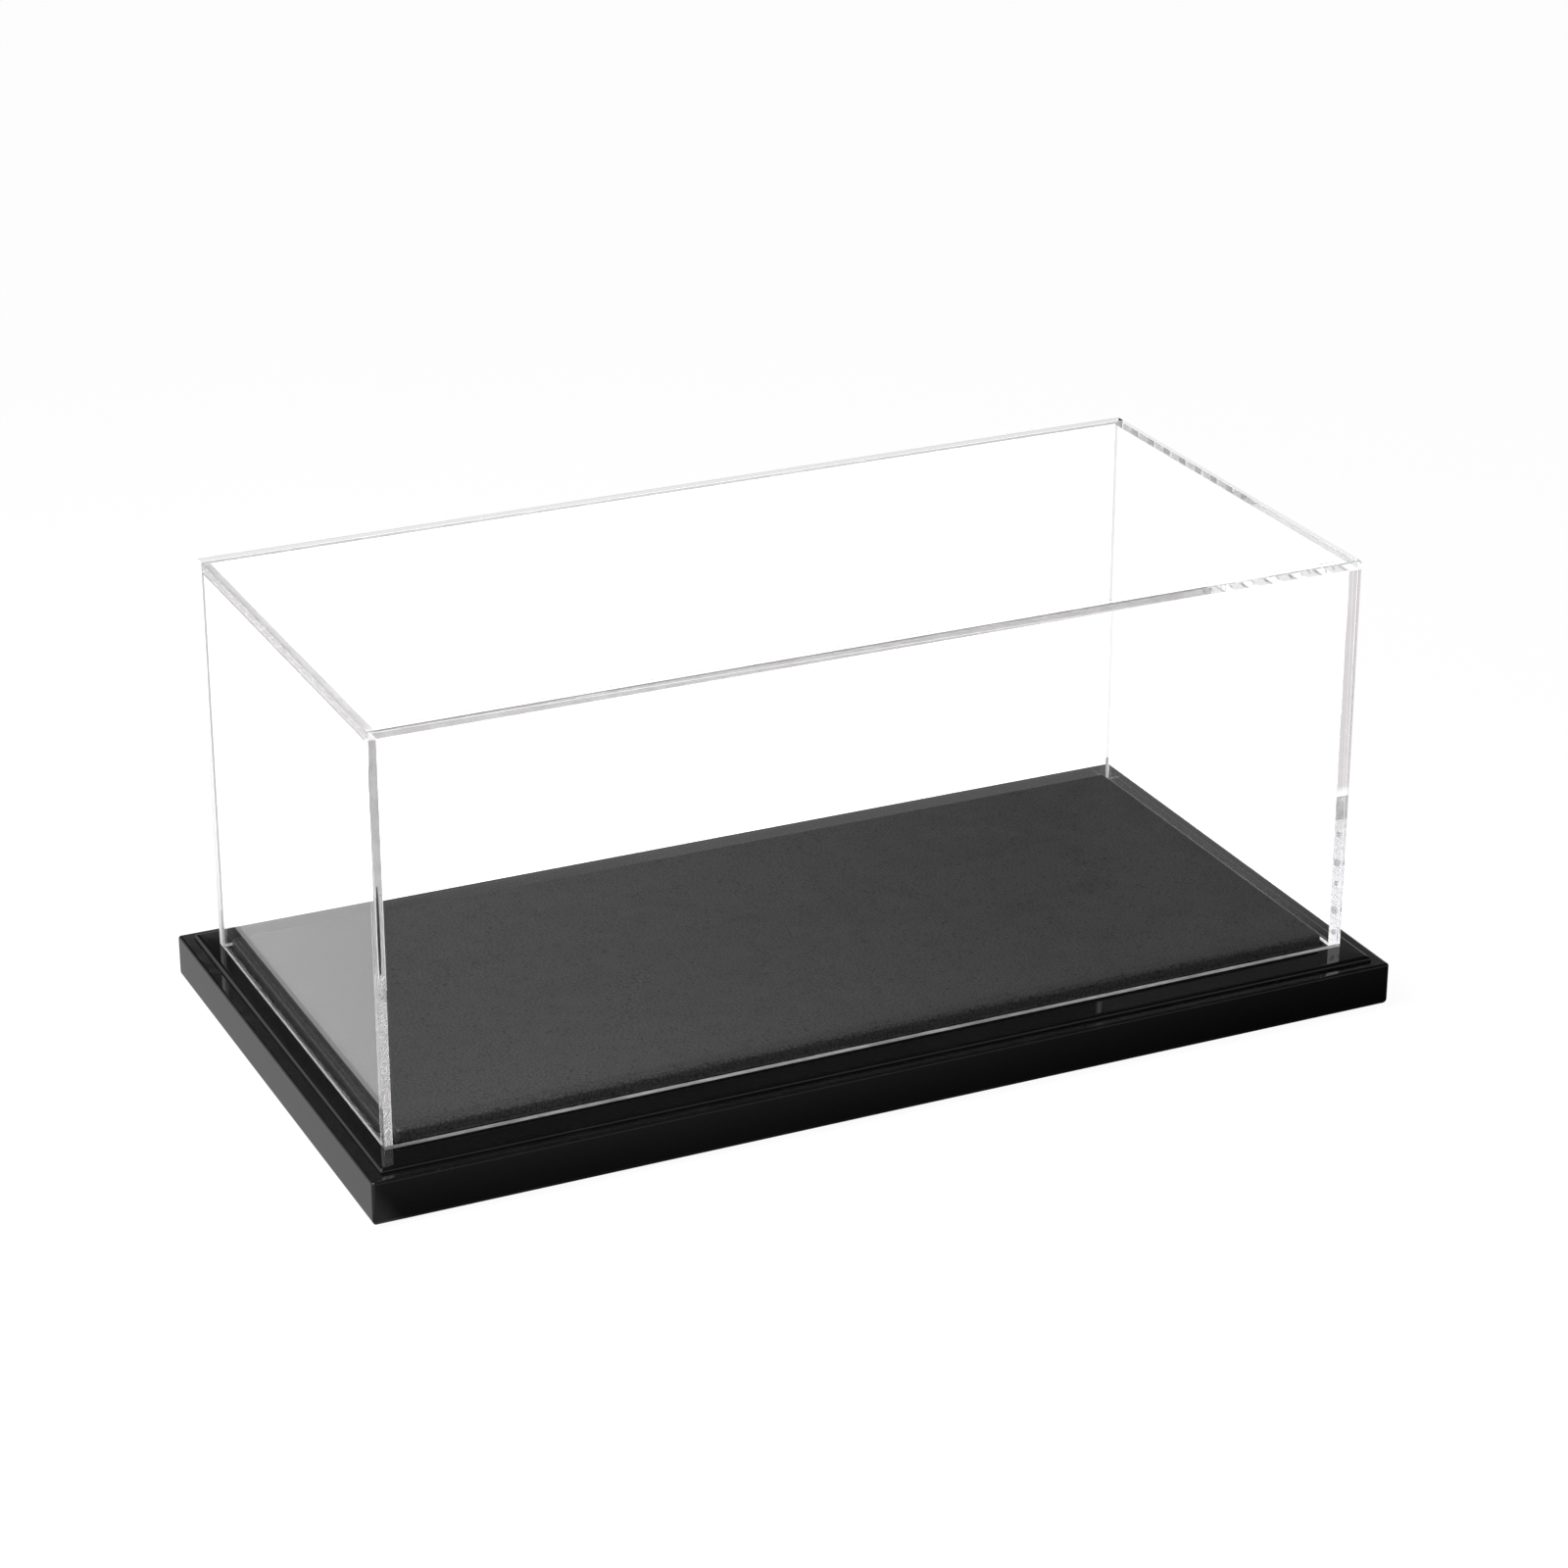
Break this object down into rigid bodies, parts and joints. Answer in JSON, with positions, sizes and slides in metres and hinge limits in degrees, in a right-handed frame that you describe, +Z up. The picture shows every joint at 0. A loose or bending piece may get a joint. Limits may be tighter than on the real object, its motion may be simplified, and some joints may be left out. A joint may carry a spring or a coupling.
{
  "type": "model car display case",
  "caption": "Clear cemented-sheet cover that lifts straight off a stepped gloss-black plinth with a raised leather-wrapped display floor, for showing a scale model car.",
  "frame": {"origin": "on the ground under the middle of the plinth, at the lowest face of the feet", "axes": "+X along the length of the case to the right, +Y from the front to the back, +Z up"},
  "size_m": [0.324, 0.173, 0.141],
  "materials": {
    "lacquer_black": "gloss",
    "leather_black": "satin",
    "floor_fibreboard": "matte",
    "zinc_screw": "satin",
    "foot_rubber": "matte",
    "clear_acrylic": "polished",
    "clear_cement": "satin"
  },
  "bodies": {
    "base": {"plinth": "lacquer_black", "floor_board": "floor_fibreboard", "floor_leather": "leather_black", "floor_screws": "zinc_screw", "foot_front_left": "foot_rubber", "foot_front_right": "foot_rubber", "foot_rear_left": "foot_rubber", "foot_rear_right": "foot_rubber"},
    "cover": {"cover_front": "clear_acrylic", "cover_rear": "clear_acrylic", "cover_left": "clear_acrylic", "cover_right": "clear_acrylic", "cover_top": "clear_acrylic", "bond_front_left": "clear_cement", "bond_front_right": "clear_cement", "bond_rear_left": "clear_cement", "bond_rear_right": "clear_cement", "bond_top_front": "clear_cement", "bond_top_rear": "clear_cement", "bond_top_left": "clear_cement", "bond_top_right": "clear_cement"}
  },
  "joints": [
    {"name": "cover_lift", "type": "slide", "parent": "base", "child": "cover", "axis": [0, 0, 1], "range_m": [0, 0.16]}
  ]
}
